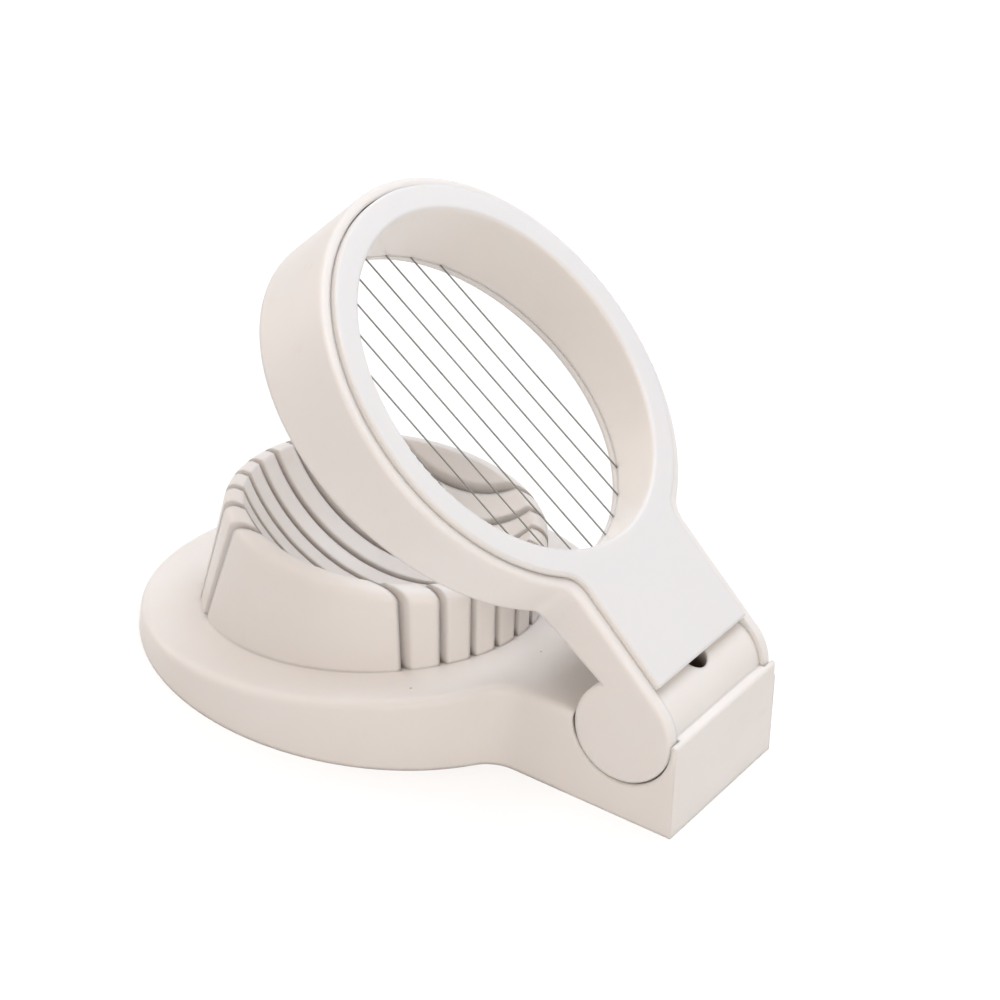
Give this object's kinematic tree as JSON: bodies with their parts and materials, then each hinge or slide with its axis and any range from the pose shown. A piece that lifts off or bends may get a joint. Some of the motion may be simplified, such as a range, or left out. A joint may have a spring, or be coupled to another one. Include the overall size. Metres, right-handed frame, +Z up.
{
  "type": "egg slicer",
  "caption": "Hinged wire egg slicer: round base with a slotted egg cup, and a ring strung with parallel steel wires that swings down over it.",
  "frame": {"origin": "on the table under the middle of the base's length, on the plane of symmetry", "axes": "+X from the egg cup to the hinge block, +Y along the hinge axis, +Z up"},
  "size_m": [0.1178, 0.086, 0.0889],
  "materials": {
    "base_plastic": "satin moulded",
    "frame_plastic": "satin moulded",
    "cover_plastic": "smooth moulded",
    "wire_steel": "drawn wire",
    "crimp_steel": "pressed",
    "pin_steel": "ground"
  },
  "bodies": {
    "base_body": {"base": "base_plastic"},
    "frame_body": {"upper_frame": "frame_plastic", "cover_plate": "cover_plastic", "hinge_pin": "pin_steel", "wire_crimps_far": "crimp_steel", "wire_crimps_near": "crimp_steel", "cutting_wire_01": "wire_steel", "cutting_wire_02": "wire_steel", "cutting_wire_03": "wire_steel", "cutting_wire_04": "wire_steel", "cutting_wire_05": "wire_steel", "cutting_wire_06": "wire_steel", "cutting_wire_07": "wire_steel", "cutting_wire_08": "wire_steel", "cutting_wire_09": "wire_steel", "cutting_wire_10": "wire_steel"}
  },
  "joints": [
    {"name": "frame_hinge", "type": "hinge", "parent": "base_body", "child": "frame_body", "pos_m": [0.0463, 0, 0.0165], "axis": [0, 1, 0], "range_deg": [-40.9, 52.8]}
  ]
}
